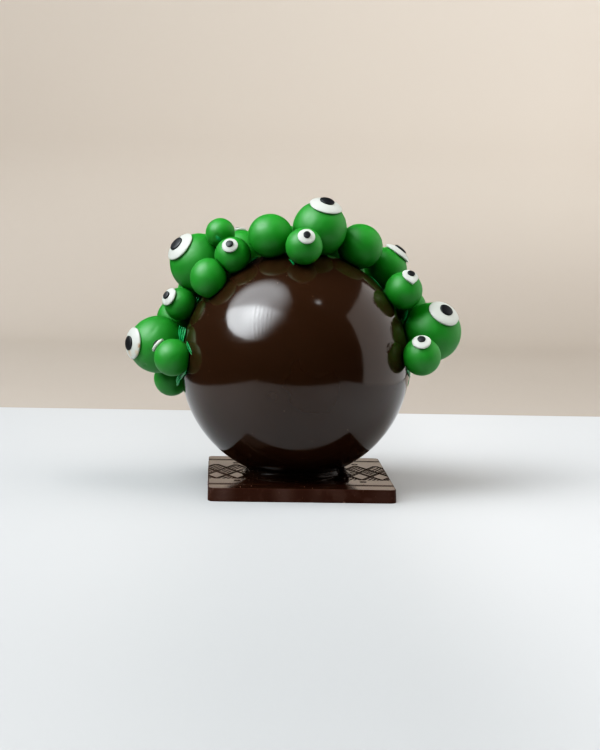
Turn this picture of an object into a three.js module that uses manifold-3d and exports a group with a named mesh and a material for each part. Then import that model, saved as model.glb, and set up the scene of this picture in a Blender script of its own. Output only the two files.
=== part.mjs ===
// A big chocolate ball that stands on a square chocolate tablet, with a garland of green paste
// balls glued over its top. Some of the green balls have an eye: a white disc with a black pupil.
// Millimetres, +Z up, front towards -Y. The origin is the middle of the tablet's underside.
import * as THREE from 'three';
import { mergeVertices } from 'three/addons/utils/BufferGeometryUtils.js';
import Module from 'manifold-3d';

// Clear space between pieces that touch, and how far a facet dips inside a big round surface.
const GAP = 0.3;
const FACET_DIP = 0.16;

// Points of one surface closer than this are one point.
const SAME_POINT = 1e-4;
const SAME_CORNER = 1e-3;

// A plain linear random sequence: each draw is the last one times the factor, within the range.
const RANDOM_FACTOR = 16807;
const RANDOM_RANGE = 2147483647;

// The tablet: a thin square cast in a mould, wider below by its draft, snapped off on its left.
const TABLET_SIDE = 119;
const TABLET_THICKNESS = 8.5;
const TABLET_DRAFT = 0.6;
const TABLET_CORNER = 3.5;
const TABLET_EDGE_ROUNDING = 0.6;
const CORNER_STEPS = 4;
const SNAP_STEPS = 15;
const SNAP_DEPTH = 0.9;
const SNAP_SEED = 7;

// The grooves in the tablet's top: two straight rails and a lattice of crossing lines between.
const GROOVE_WIDTH = 0.9;
const GROOVE_DEPTH = 0.5;
const RAIL_FROM_EDGE = 15;
const LATTICE_BAND = 60;
const LATTICE_ANGLE = 32;
const LATTICE_PITCH = 32;
const LATTICE_LINES = 5;

// The big ball, melted flat a little where it stands, just left of the tablet's middle, and the
// number of splits of its facets and of the facets that hollow the green balls on it.
const BALL_DIAMETER = 150;
const BALL_SUNK = 2.5;
const BALL_X = -3.5;
const BALL_Y = -1;
const BALL_DETAIL = 7;
const HOLLOW_DETAIL = 11;

// The melted foot that holds the ball: a thin puddle with a fillet up to the ball. Its outline
// waves, and it ran out further on one side. Fillet and shoulder are shares of its width.
const FOOT_INNER = 21;
const FOOT_OUTER = 34;
const FOOT_FILLET = 0.66;
const FOOT_SHOULDER = 0.84;
const FOOT_RIM = 2;
const FOOT_RIM_ROUNDING = 0.5;
const FOOT_WAVES = [
  { count: 3, height: 0.75, start: 1 },
  { count: 5, height: 0.45, start: 2.2 },
];
const FOOT_RUN_LENGTH = 4;
const FOOT_RUN_SIDE = 8;
const FOOT_RUN_SPREAD = 28;
const FOOT_SEGMENTS = 30;

// Green balls: the small ones and those behind the top have fewer facets.
const BUBBLE_DETAIL = 3;
const COARSE_DETAIL = 2;
const SMALL_BUBBLE = 22;
const REAR_LEAN = -10;

// Eyes: thickness of the white disc and of the pupil on it, and the disc's round rim as shares
// of its reach and of its thickness.
const WHITE_THICKNESS = 1.9;
const PUPIL_THICKNESS = 0.8;
const EYE_RIM = [[0.96, 0], [1, 0.45], [0.9, 0.92]];
const BIG_EYE = 16;
const BIG_SIDES = { white: 18, pupil: 14 };
const SMALL_SIDES = { white: 12, pupil: 9 };

// The green balls, from left to right over the top, with five more that only the back shows.
// Each has its diameter, its place round the big ball in degrees (along: from the top towards
// the right, lean: towards the front), and lift: how far it stands off the big ball, negative
// where it is pressed on. A ball that isn't round has tall, its height over its width.
const BUBBLES = [
  { name: '01', size: 23.5, along: -99.9, lean: -16.5, lift: -0.6 },
  { name: '02', size: 24, along: -86.3, lean: 16, lift: -3.8 },
  { name: '03', size: 37.5, along: -83.3, lean: -3, lift: -2.7 },
  { name: '04', size: 27, along: -71.7, lean: -20, lift: -0.6 },
  { name: '05', size: 21.5, along: -63.7, lean: -3, lift: -1.2 },
  { name: '06', size: 22.5, along: -56, lean: -22, lift: 1 },
  { name: '07', size: 23.5, along: -45.7, lean: 14.5, lift: -3.4, tall: 1.08 },
  { name: '08', size: 39, along: -44.9, lean: -7, lift: -3.4 },
  { name: '09', size: 19, along: -30.9, lean: 2.5, lift: 14.2 },
  { name: '10', size: 23.5, along: -30.9, lean: 12, lift: -2.2 },
  { name: '11', size: 26.5, along: -26.3, lean: -20, lift: -2.3 },
  { name: '12', size: 29, along: -12.6, lean: 12.5, lift: -1.5, tall: 0.97 },
  { name: '13', size: 24, along: -9, lean: -32, lift: 0 },
  { name: '14', size: 23.5, along: 1.4, lean: 24.5, lift: -0.6 },
  { name: '15', size: 35, along: 8.4, lean: 7.5, lift: -1.7 },
  { name: '16', size: 27, along: 14.5, lean: -22, lift: 0 },
  { name: '17', size: 29.5, along: 27.6, lean: 0, lift: -2.2 },
  { name: '18', size: 22, along: 31, lean: -31, lift: 0 },
  { name: '19', size: 28.5, along: 43.7, lean: -13, lift: -0.5 },
  { name: '20', size: 24.5, along: 53.8, lean: 8, lift: -1.4 },
  { name: '21', size: 21.5, along: 63.4, lean: -10.5, lift: 1 },
  { name: '22', size: 24, along: 73, lean: -27, lift: 0 },
  { name: '23', size: 38.5, along: 75.7, lean: 1.5, lift: -2.2 },
  { name: '24', size: 24.5, along: 83.1, lean: 22, lift: -1.3 },
  { name: '25', size: 18, along: -4, lean: -16, lift: 0 },
  { name: '26', size: 18, along: -43, lean: -30.5, lift: 0 },
  { name: '27', size: 20, along: -88, lean: -33, lift: 0 },
  { name: '28', size: 19, along: 56.5, lean: -31, lift: 0 },
  { name: '29', size: 18, along: 82, lean: -17, lift: 0 },
];

// The eyes by the name of their ball: where each looks, in degrees to a side (turn: from the front
// towards the right) and up (rise: above level), and the diameters of its white and its pupil.
const EYES = {
  '02': { turn: -108, rise: 37, white: 10.5, pupil: 4.6 },
  '03': { turn: -63, rise: 4, white: 21, pupil: 9.5 },
  '05': { turn: -53, rise: 28, white: 12.5, pupil: 5.2 },
  '08': { turn: -61, rise: 36, white: 21.5, pupil: 9.8 },
  '10': { turn: -12, rise: 33, white: 10.4, pupil: 4.8 },
  '11': { turn: -158, rise: 56, white: 12.5, pupil: 5.5 },
  '14': { turn: 5, rise: 33, white: 11, pupil: 4.6 },
  '15': { turn: 28, rise: 65, white: 21.5, pupil: 9.4 },
  '16': { turn: 172, rise: 40, white: 12, pupil: 5 },
  '19': { turn: 93, rise: 53, white: 19, pupil: 8.6 },
  '20': { turn: 24, rise: 53, white: 11, pupil: 5 },
  '22': { turn: 150, rise: 20, white: 11.5, pupil: 5 },
  '23': { turn: 30, rise: 47, white: 21.5, pupil: 9 },
  '24': { turn: -11, rise: 55, white: 12.5, pupil: 5.2 },
};

const DARK_CHOCOLATE = { color: '#24110a', roughness: 0.12, metalness: 0 };
const TABLET_CHOCOLATE = { color: '#35190f', roughness: 0.3, metalness: 0 };
const GREEN_PASTE = { color: '#2c8a36', roughness: 0.5, metalness: 0 };
const WHITE_PASTE = { color: '#e8ede4', roughness: 0.45, metalness: 0 };
const BLACK_PASTE = { color: '#16181b', roughness: 0.35, metalness: 0 };

const wasm = await Module();
wasm.setup();

const ballRadius = BALL_DIAMETER / 2;
const ballCentre = new THREE.Vector3(BALL_X, BALL_Y, TABLET_THICKNESS + ballRadius - BALL_SUNK);
const upward = new THREE.Vector3(0, 1, 0);
const chance = seededRandom(SNAP_SEED);

function seededRandom(seed) {
  let state = seed;
  return () => {
    state = (state * RANDOM_FACTOR) % RANDOM_RANGE;
    return state / RANDOM_RANGE;
  };
}

// Joins a geometry's shared vertices, so that only closed surfaces are left.
function welded(geometry) {
  const bare = geometry.clone();
  bare.deleteAttribute('normal');
  bare.deleteAttribute('uv');
  return mergeVertices(bare, SAME_POINT);
}

function toSolid(geometry) {
  const closed = welded(geometry);
  return new wasm.Manifold(new wasm.Mesh({
    numProp: 3,
    vertProperties: new Float32Array(closed.attributes.position.array),
    triVerts: new Uint32Array(closed.index.array),
  }));
}

function toGeometry(solid) {
  const mesh = solid.getMesh();
  const geometry = new THREE.BufferGeometry();
  geometry.setAttribute('position', new THREE.BufferAttribute(new Float32Array(mesh.vertProperties), 3));
  geometry.setIndex(new THREE.BufferAttribute(new Uint32Array(mesh.triVerts), 1));
  geometry.computeVertexNormals();
  return geometry;
}

function named(name, geometry, finish) {
  const mesh = new THREE.Mesh(geometry, new THREE.MeshStandardMaterial(finish));
  mesh.name = name;
  return mesh;
}

// A box far larger than a piece, whose one face cuts it square to a direction at a distance.
function cuttingBlock(from, direction, distance, size) {
  const block = new THREE.BoxGeometry(size, size, size);
  block.translate(0, size / 2 + distance, 0);
  block.applyQuaternion(new THREE.Quaternion().setFromUnitVectors(upward, direction));
  block.translate(from.x, from.y, from.z);
  return toSolid(block);
}

// The tablet's outline from above, set in by an amount, with a rough snapped left side.
function tabletOutline(inset, snaps) {
  const half = TABLET_SIDE / 2 - inset;
  const radius = TABLET_CORNER - inset / 2;
  const points = [];
  for (const [sideX, sideY, start] of [[1, -1, -90], [1, 1, 0], [-1, 1, 90], [-1, -1, 180]]) {
    for (let step = 0; step <= CORNER_STEPS; step += 1) {
      const angle = THREE.MathUtils.degToRad(start + (90 * step) / CORNER_STEPS);
      points.push([
        sideX * (half - radius) + radius * Math.cos(angle),
        sideY * (half - radius) + radius * Math.sin(angle),
      ]);
    }
    if (sideX === -1 && sideY === 1) {
      for (let step = 1; step < SNAP_STEPS; step += 1) {
        const along = 1 - (2 * step) / SNAP_STEPS;
        points.push([-half + snaps[step], along * (half - radius)]);
      }
    }
  }
  return points;
}

// Closed skin over a stack of like outlines, each at its own height, with flat ends.
function stackedOutlines(outlines, heights) {
  const shape = new THREE.Shape(outlines[0].map(([x, y]) => new THREE.Vector2(x, y)));
  const block = welded(new THREE.ExtrudeGeometry(shape, {
    depth: 1,
    steps: heights.length - 1,
    bevelEnabled: false,
  }));
  const places = block.attributes.position;
  for (let index = 0; index < places.count; index += 1) {
    const level = Math.round(places.getZ(index) * (heights.length - 1));
    const corner = outlines[0].findIndex(([x, y]) => (
      Math.hypot(x - places.getX(index), y - places.getY(index)) < SAME_CORNER
    ));
    const [x, y] = outlines[level][corner];
    places.setXYZ(index, x, y, heights[level]);
  }
  return block;
}

function grooves() {
  const bars = [];
  const bar = (length, x, y, angle) => {
    const geometry = new THREE.BoxGeometry(length, GROOVE_WIDTH, 2 * GROOVE_DEPTH);
    geometry.rotateZ(THREE.MathUtils.degToRad(angle));
    geometry.translate(x, y, TABLET_THICKNESS);
    bars.push(toSolid(geometry));
  };
  const railY = TABLET_SIDE / 2 - RAIL_FROM_EDGE;
  bar(TABLET_SIDE + 2, 0, railY, 0);
  bar(TABLET_SIDE + 2, 0, -railY, 0);
  const slope = THREE.MathUtils.degToRad(LATTICE_ANGLE);
  const length = LATTICE_BAND / Math.sin(slope);
  const middle = (LATTICE_LINES - 1) / 2;
  for (let line = 0; line < LATTICE_LINES; line += 1) {
    bar(length, (line - middle) * LATTICE_PITCH, 0, LATTICE_ANGLE);
    bar(length, (line - middle) * LATTICE_PITCH, 0, -LATTICE_ANGLE);
  }
  return bars.reduce((all, next) => all.add(next));
}

function tablet() {
  const snaps = Array.from({ length: SNAP_STEPS }, () => SNAP_DEPTH * chance());
  const insets = [TABLET_EDGE_ROUNDING, 0, TABLET_DRAFT, TABLET_DRAFT + TABLET_EDGE_ROUNDING];
  const heights = [0, TABLET_EDGE_ROUNDING, TABLET_THICKNESS - TABLET_EDGE_ROUNDING, TABLET_THICKNESS];
  const block = stackedOutlines(insets.map((inset) => tabletOutline(inset, snaps)), heights);
  return named('tablet', toGeometry(toSolid(block).subtract(grooves())), TABLET_CHOCOLATE);
}

function bigBall() {
  const ball = new THREE.IcosahedronGeometry(ballRadius, BALL_DETAIL);
  ball.translate(ballCentre.x, ballCentre.y, ballCentre.z);
  const down = new THREE.Vector3(0, 0, -1);
  const flat = cuttingBlock(ballCentre, down, ballRadius - BALL_SUNK - GAP, BALL_DIAMETER);
  return named('ball', toGeometry(toSolid(ball).subtract(flat)), DARK_CHOCOLATE);
}

// Height of the big ball's skin above the tablet's top at a distance from the ball's axis.
function ballSkin(distance) {
  return ballRadius - BALL_SUNK - Math.sqrt(ballRadius ** 2 - distance ** 2);
}

// The foot is turned as a ring and then pushed out unevenly, with one longer run on its right.
function foot() {
  const fillet = THREE.MathUtils.lerp(FOOT_INNER, FOOT_OUTER, FOOT_FILLET);
  const shoulder = THREE.MathUtils.lerp(FOOT_INNER, FOOT_OUTER, FOOT_SHOULDER);
  const under = (FOOT_INNER + fillet) / 2;
  const profile = [
    [FOOT_INNER, GAP],
    [FOOT_OUTER - FOOT_RIM_ROUNDING, GAP],
    [FOOT_OUTER, GAP + FOOT_RIM / 2],
    [FOOT_OUTER - FOOT_RIM_ROUNDING, GAP + FOOT_RIM],
    [shoulder, GAP + FOOT_RIM + FOOT_RIM_ROUNDING],
    [fillet, ballSkin(fillet) - GAP],
    [under, ballSkin(under) - GAP - FACET_DIP],
    [FOOT_INNER, ballSkin(FOOT_INNER) - GAP],
    [FOOT_INNER, GAP],
  ];
  const ring = new THREE.LatheGeometry(profile.map(([x, y]) => new THREE.Vector2(x, y)), FOOT_SEGMENTS);
  ring.rotateX(Math.PI / 2);
  const geometry = welded(ring);
  const places = geometry.attributes.position;
  for (let index = 0; index < places.count; index += 1) {
    const x = places.getX(index);
    const y = places.getY(index);
    const radius = Math.hypot(x, y);
    const angle = Math.atan2(y, x);
    const share = THREE.MathUtils.smoothstep(radius, fillet, FOOT_OUTER);
    const wave = FOOT_WAVES.reduce(
      (sum, { count, height, start }) => sum + height * Math.sin(count * angle + start),
      0,
    );
    const away = THREE.MathUtils.radToDeg(angle) + FOOT_RUN_SIDE;
    const run = FOOT_RUN_LENGTH * Math.exp(-((away / FOOT_RUN_SPREAD) ** 2));
    const grown = (radius + share * (wave + run)) / radius;
    places.setXY(index, x * grown, y * grown);
  }
  const mesh = named('melted_foot', geometry, DARK_CHOCOLATE);
  mesh.position.set(BALL_X, BALL_Y, TABLET_THICKNESS);
  return mesh;
}

// Middle of a green ball, from its place round the big ball.
function bubbleCentre({ size, along, lean, lift }) {
  const side = THREE.MathUtils.degToRad(along);
  const front = THREE.MathUtils.degToRad(lean);
  const out = new THREE.Vector3(
    Math.sin(side) * Math.cos(front),
    -Math.sin(front),
    Math.cos(side) * Math.cos(front),
  );
  return out.multiplyScalar(ballRadius + size / 2 + lift).add(ballCentre);
}

function bubbleDetail({ size, lean }) {
  return lean < REAR_LEAN || size < SMALL_BUBBLE ? COARSE_DETAIL : BUBBLE_DETAIL;
}

function bubbleBall(bubble, centre) {
  const ball = new THREE.IcosahedronGeometry(bubble.size / 2, bubbleDetail(bubble));
  ball.scale(1, 1, bubble.tall ?? 1);
  ball.translate(centre.x, centre.y, centre.z);
  return toSolid(ball);
}

// A green ball, hollowed where it is pressed on the big ball and flat where two of them meet.
function bubble(index, centres, hollow) {
  const piece = BUBBLES[index];
  const centre = centres[index];
  const radius = (piece.size / 2) * Math.max(1, piece.tall ?? 1);
  let solid = bubbleBall(piece, centre);
  if (centre.distanceTo(ballCentre) < ballRadius + radius + GAP) {
    solid = solid.subtract(hollow);
  }
  BUBBLES.forEach((other, place) => {
    const away = new THREE.Vector3().subVectors(centres[place], centre);
    const apart = away.length();
    const otherRadius = (other.size / 2) * Math.max(1, other.tall ?? 1);
    if (place !== index && apart < radius + otherRadius + GAP) {
      const flat = (apart ** 2 + radius ** 2 - otherRadius ** 2) / (2 * apart) - GAP / 2;
      solid = solid.subtract(cuttingBlock(centre, away.normalize(), flat, 3 * radius));
    }
  });
  return named(`bubble_${piece.name}`, toGeometry(solid), GREEN_PASTE);
}

function eyeDirection({ turn, rise }) {
  const side = THREE.MathUtils.degToRad(turn);
  const up = THREE.MathUtils.degToRad(rise);
  return new THREE.Vector3(Math.sin(side) * Math.cos(up), -Math.cos(side) * Math.cos(up), Math.sin(up));
}

// A disc pressed on a ball: turned round the line of sight from the ball's middle, with its
// underside and top at one distance from there and a round rim. Rings are the shares of the
// disc's reach where its two faces have a point.
function disc(radius, inner, thickness, rings, segments) {
  const reach = Math.asin(radius / (inner + thickness / 2));
  const at = (share, height) => {
    const angle = reach * share;
    return new THREE.Vector2((inner + height) * Math.sin(angle), (inner + height) * Math.cos(angle));
  };
  const profile = [
    ...rings.map((share) => at(share, 0)),
    ...EYE_RIM.map(([share, height]) => at(share, height * thickness)),
    ...rings.toReversed().map((share) => at(share, thickness)),
  ];
  return welded(new THREE.LatheGeometry(profile, segments));
}

// The white of an eye and its pupil, placed on a green ball.
function eye(piece, look, centre) {
  const sides = look.white > BIG_EYE ? BIG_SIDES : SMALL_SIDES;
  const skin = piece.size / 2 + GAP;
  const onWhite = skin + WHITE_THICKNESS + GAP;
  const white = disc(look.white / 2, skin, WHITE_THICKNESS, [0, 0.5], sides.white);
  const pupil = disc(look.pupil / 2, onWhite, PUPIL_THICKNESS, [0], sides.pupil);
  const group = new THREE.Group();
  group.add(named(`eye_white_${piece.name}`, white, WHITE_PASTE));
  group.add(named(`pupil_${piece.name}`, pupil, BLACK_PASTE));
  group.position.copy(centre);
  group.quaternion.setFromUnitVectors(upward, eyeDirection(look));
  return group;
}

function garland() {
  const group = new THREE.Group();
  const centres = BUBBLES.map(bubbleCentre);
  const skin = new THREE.IcosahedronGeometry(ballRadius + GAP + FACET_DIP, HOLLOW_DETAIL);
  skin.translate(ballCentre.x, ballCentre.y, ballCentre.z);
  const hollow = toSolid(skin);
  BUBBLES.forEach((piece, index) => {
    group.add(bubble(index, centres, hollow));
    if (EYES[piece.name]) {
      group.add(eye(piece, EYES[piece.name], centres[index]));
    }
  });
  return group;
}

const group = new THREE.Group();
group.add(tablet(), foot(), bigBall(), garland());

export default group;
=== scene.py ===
"""A polished chocolate ball on a square chocolate tablet, under a garland of green paste balls.

Some of the green balls have an eye: a white disc with a black pupil. The packed solids give every
place and size, and this add-on makes the fine surfaces, the glue, the crumbs and the studio.
Lengths are metres, +Z is up and the front faces -Y.
"""
import math

import bmesh
import bpy
import numpy as np
from bpy.props import FloatProperty, FloatVectorProperty, IntProperty, PointerProperty
from mathutils import Matrix, Vector, noise


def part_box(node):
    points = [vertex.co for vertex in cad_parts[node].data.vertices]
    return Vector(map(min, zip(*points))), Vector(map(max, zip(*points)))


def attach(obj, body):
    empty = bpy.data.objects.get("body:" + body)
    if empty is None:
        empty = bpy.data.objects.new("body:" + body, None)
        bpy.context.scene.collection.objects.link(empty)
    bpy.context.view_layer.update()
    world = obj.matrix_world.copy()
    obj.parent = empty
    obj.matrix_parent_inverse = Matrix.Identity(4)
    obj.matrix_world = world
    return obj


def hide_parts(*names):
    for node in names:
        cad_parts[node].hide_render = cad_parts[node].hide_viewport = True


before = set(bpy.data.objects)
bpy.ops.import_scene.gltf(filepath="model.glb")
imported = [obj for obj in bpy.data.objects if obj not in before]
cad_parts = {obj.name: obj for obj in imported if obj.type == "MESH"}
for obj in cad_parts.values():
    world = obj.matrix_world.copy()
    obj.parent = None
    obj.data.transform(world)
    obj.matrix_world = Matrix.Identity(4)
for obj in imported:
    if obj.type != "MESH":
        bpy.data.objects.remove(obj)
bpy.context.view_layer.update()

bl_info = {
    "name": "Chocolate ball with eyed garland",
    "version": (1, 0, 0),
    "blender": (4, 5, 0),
    "location": "View3D > Sidebar > Chocolate ball",
    "description": "Makes a chocolate ball on a tablet with green paste balls and eyes glued over it",
    "category": "Add Mesh",
}

MM = 0.001
BODY = "root"
PHOTO_WIDTH = 600
PHOTO_HEIGHT = 750

# The fit of a round solid: how many draws of points, how close a point lies to count.
FIT_DRAWS = 300
FIT_POINTS = 6
FIT_CLOSE = 0.03 * MM

# Where a green ball shows a mark: the ball, the mark's side and rise in degrees, its length,
# width and depth, and how far its length is turned from level.
DENTS = [
    ("03", -33, -42, 2.2 * MM, 1.1 * MM, 0.60 * MM, 35),
    ("03", -8, 36, 7.0 * MM, 2.0 * MM, 0.22 * MM, 60),
    ("02", -2, -1, 2.4 * MM, 0.6 * MM, 0.45 * MM, 62),
    ("02", 9, 4, 2.6 * MM, 0.6 * MM, 0.40 * MM, 15),
    ("02", 14, 12, 3.0 * MM, 0.8 * MM, 0.25 * MM, 40),
    ("02", -20, 8, 6.0 * MM, 1.2 * MM, 0.18 * MM, -50),
    ("09", -12, -15, 3.5 * MM, 2.5 * MM, 0.25 * MM, 10),
    ("17", -10, 10, 9.0 * MM, 2.5 * MM, 0.20 * MM, -40),
    ("23", -35, -20, 6.0 * MM, 2.5 * MM, 0.20 * MM, 30),
    ("12", -28, 29, 3.0 * MM, 1.6 * MM, 0.25 * MM, 10),
    ("15", -25, 20, 4.0 * MM, 2.5 * MM, 0.20 * MM, 70),
]

# Green balls pressed flat towards the big ball, and how far from their middle the flat lies.
FLAT_BACKS = {"03": 15 * MM}

# Glue squeezed out over the big ball: from and to as (along, lean) in degrees and height over the
# skin in millimetres, then its thickness in millimetres and its number of strands.
GLUE = [
    ((-72.4, 3.0, 4.6), (-80.3, 4.5, 2.8), 1.2, 2),
    ((-72.3, 4.0, 3.4), (-80.0, 5.0, 1.9), 1.2, 2),
    ((-72.2, 4.5, 2.2), (-80.4, 5.5, 1.0), 1.3, 2),
    ((-72.3, 4.5, 1.0), (-80.0, 5.5, 0.4), 1.2, 2),
    ((-72.8, 7.0, 0.8), (-79.6, 8.0, 0.5), 1.3, 2),
    ((-77.6, 15.5, 0.5), (-83.0, 26.2, 0.3), 0.8, 2),
    ((-92.2, 20.5, 0.5), (-97.3, 7.5, 0.9), 1.5, 3),
    ((-96.4, 8.5, 1.4), (-100.2, 2.5, 3.6), 1.6, 3),
    ((-56.0, -3.0, 1.0), (-62.3, -3.0, 0.8), 1.1, 2),
    ((-56.8, -3.0, 2.4), (-61.5, -3.0, 1.8), 1.2, 1),
    ((-25.4, 12.4, 0.4), (-19.8, 6.0, 0.3), 0.9, 2),
    ((-5.6, 21.8, 0.5), (-3.4, 27.8, 0.5), 1.1, 2),
    ((24.0, 1.5, 1.0), (33.0, 1.5, 0.5), 1.2, 3),
    ((38.5, 3.0, 0.6), (47.8, 3.0, 0.2), 0.6, 1),
    ((48.0, 3.0, 0.6), (55.0, 3.0, 0.3), 0.9, 2),
    ((62.8, 3.5, 6.6), (66.8, 4.5, 1.8), 1.9, 2),
    ((63.6, 2.0, 4.6), (67.4, 3.0, 0.9), 1.8, 2),
    ((88.4, 22.5, 0.4), (95.2, 5.5, 0.6), 0.9, 2),
    ((94.0, 5.5, 0.5), (101.0, 3.0, 0.4), 0.5, 2),
    ((-60.0, -31.0, 0.3), (-50.0, -34.0, 0.3), 1.0, 3),
    ((-1.0, -33.0, 0.3), (9.0, -31.0, 0.3), 1.0, 2),
    ((43.0, -31.5, 0.3), (50.0, -33.0, 0.3), 1.0, 2),
]

# Glue smeared on a green ball: the ball, from and to as side and rise in degrees, its thickness in
# millimetres and its number of strands.
SMEARS = [
    ("09", (-20, -14), (6, -32), 1.1, 3),
    ("23", (-76, 33), (-68, 12), 1.9, 2),
]

# Eye whites drawn out to a point: where the point lies round the disc in degrees, from the right
# up the slope, and how far it stands out as a share of the disc's width.
POINTED = {"20": (-97, 0.19)}

# Pale specks of dust on the big ball, by (along, lean) in degrees.
SEEN_SPECKS = [
    (-38.2, 7.9), (-53.5, 18.8), (-24.2, 13.6), (-27.2, 30.9), (-8.3, 36.0), (3.9, 42.5), (-59.5, 27.1),
    (-160.4, 55.3),
]

# Beads of melted chocolate at the foot's right: place, half sizes along X, Y and Z, and height.
FOOT_BEADS = [
    (27.6 * MM, -12.5 * MM, 3.4 * MM, 3.2 * MM, 2.3 * MM, 4.3 * MM),
    (29.4 * MM, -18.5 * MM, 3.5 * MM, 4.4 * MM, 1.9 * MM, 1.5 * MM),
    (26.2 * MM, -24.0 * MM, 3.6 * MM, 2.6 * MM, 0.9 * MM, 0.5 * MM),
]

# Ridges left in the foot when the ball was turned: from and to in degrees round the ball (0 is to
# the right, -90 to the front), distance from the ball's axis, height and thickness.
FOOT_RIDGES = [
    (-78, -34, 34.6 * MM, 1.1 * MM, 0.9 * MM),
    (-68, -26, 32.6 * MM, 3.4 * MM, 0.8 * MM),
    (-172, -140, 33.8 * MM, 0.8 * MM, 0.9 * MM),
    (20, 74, 34.0 * MM, 1.0 * MM, 0.8 * MM),
]

# Thin smears of chocolate on the tablet's top before the foot, given like the ridges.
TOP_SMEARS = [
    (-128, -104, 43.0 * MM, 0.0 * MM, 0.35 * MM),
    (-124, -112, 45.5 * MM, 0.0 * MM, 0.3 * MM),
    (-66, -44, 42.0 * MM, 0.0 * MM, 0.4 * MM),
    (-62, -50, 44.5 * MM, 0.0 * MM, 0.3 * MM),
]

# Chocolate stains on the white of one eye: side and rise in degrees, width and tint.
STAINED = "03"
STAINS = [
    (-33, 2, 3.0 * MM, (0.32, 0.15, 0.055)),
    (-60, -14, 4.2 * MM, (0.46, 0.36, 0.25)),
    (-40, -12, 3.6 * MM, (0.46, 0.37, 0.26)),
]

# Crumbs on the tablet's top (x, y) and chips on its lower front edge (x, size).
TOP_CRUMBS = [
    (-31.9 * MM, -50.8 * MM), (1.5 * MM, -51.8 * MM), (6.3 * MM, -56.0 * MM), (-39.0 * MM, -55.0 * MM),
    (40.0 * MM, -40.0 * MM),
]
FRONT_CHIPS = [
    (-17.7 * MM, 1.0 * MM), (26.1 * MM, 1.5 * MM), (-22.5 * MM, 0.7 * MM), (-36.0 * MM, 0.6 * MM),
]

# Pale patches of bloom on the tablet's long sides: middle (x), half width and strength.
FRONT_BLOOM = [
    (-50 * MM, 10 * MM, 1.0), (-12 * MM, 10 * MM, 0.9), (8.5 * MM, 7 * MM, 0.4), (51 * MM, 12 * MM, 0.5),
]

# The softbox's outline on its own plane, in metres to its left and upwards.
SOFTBOX_OUTLINE = [
    (-0.08, -1.19), (-0.72, -1.08), (-1.19, -0.78), (-1.42, -0.33), (-1.34, 0.23), (-1.10, 0.75),
    (-0.72, 1.17), (-0.07, 1.47), (0.42, 1.57), (0.88, 1.55), (1.31, 1.33), (1.68, 0.96),
    (1.87, 0.55), (1.72, 0.05), (1.42, -0.46), (1.04, -0.86), (0.52, -1.12),
]

# Where the lights stand: turn from the front to the right and rise, in degrees, and metres away.
SOFTBOX_STAND = (-60, 50, 2.4)
LAMP_STAND = (41.6, 64.6, 1.56)
FILL_STAND = (82, 52, 1.6)
FRONT_STAND = (-8, 28, 1.8)

# The lamp's radius and half the side of a square fill, in metres.
LAMP_RADIUS = 0.10
FILL_HALF = 0.7

# The shader inputs that the floor and the wall share.
MATT = {"Specular IOR Level": 0.25}

# The camera's tones in linear light: what comes in, and what is shown.
TONES = [
    (0.0, 0.0), (0.004, 0.0006), (0.008, 0.0018), (0.014, 0.0045), (0.0212, 0.0083),
    (0.0452, 0.0250), (0.1022, 0.0740), (0.2159, 0.1900), (0.3515, 0.3430), (0.5149, 0.5270),
    (0.7157, 0.7250), (0.8714, 0.8500), (1.0, 0.9300),
]


def colour(name, description, default):
    return FloatVectorProperty(
        name=name, description=description, default=default, size=3, min=0, max=1, subtype="COLOR"
    )


def length(name, description, default):
    return FloatProperty(name=name, description=description, default=default, precision=5, unit="LENGTH")


def share(name, description, default):
    return FloatProperty(name=name, description=description, default=default, min=0, max=1, subtype="FACTOR")


def angle(name, description, degrees):
    return FloatProperty(name=name, description=description, default=math.radians(degrees), unit="ROTATION")


def number(name, description, default):
    return FloatProperty(name=name, description=description, default=default)


def count(name, description, default):
    return IntProperty(name=name, description=description, default=default, min=0)


class BallSettings(bpy.types.PropertyGroup):
    """The big polished chocolate ball and the melted foot under it"""

    chocolate: colour("Chocolate", "Colour of the dark chocolate", (0.0240, 0.0112, 0.0056))
    gloss: share("Roughness", "Roughness of the polished skin", 0.12)
    detail: count("Detail", "How many times the ball's facets are split", 7)
    wave: length("Wave", "Depth of the skin's slow waves", 0.035 * MM)
    wave_length: length("Wave length", "Distance from one slow wave to the next", 28 * MM)
    foot_voxel: length("Foot grain", "Size of the smallest feature of the melted foot", 0.45 * MM)
    foot_neck: length("Foot neck", "How far the foot draws in between the ball and the tablet", 1.1 * MM)
    foot_front: length("Foot front", "How far the foot ran out to the front", 2.6 * MM)


class TabletSettings(bpy.types.PropertyGroup):
    """The chocolate tablet under the ball"""

    chocolate: colour("Chocolate", "Colour of the tablet's top", (0.024, 0.0100, 0.0055))
    side: colour("Side", "Colour of its sides", (0.0310, 0.0105, 0.0052))
    bloom: colour("Bloom", "Colour of the bloom on its sides", (0.068, 0.038, 0.030))
    gloss: share("Roughness", "Roughness of its moulded top", 0.08)
    step: length("Step", "Distance between the points of its top", 0.37 * MM)
    edge: length("Edge", "Radius of its rounded edges", 0.38 * MM)
    corner: length("Corner", "Radius of its corners seen from above", 3.2 * MM)
    groove: length("Groove", "Half width of a groove", 0.36 * MM)
    groove_depth: length("Groove depth", "Depth of a groove", 0.6 * MM)
    rail: length("Rail", "Distance of the straight double grooves from the edge", 13.5 * MM)
    rail_gap: length("Rail gap", "Distance between the two grooves of a pair", 2.6 * MM)
    lattice_band: length("Lattice band", "Width of the band with the lattice", 52 * MM)
    lattice_pitch: length("Lattice pitch", "Distance from one pair of slanting grooves to the next", 12 * MM)
    lattice_angle: angle("Lattice angle", "Angle of the lattice to the rails", 63)
    hatch: length("Hatch", "Distance between the short strokes in some diamonds", 2.7 * MM)
    snap: length("Snap", "Depth of the rough snapped side", 0.9 * MM)


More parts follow.
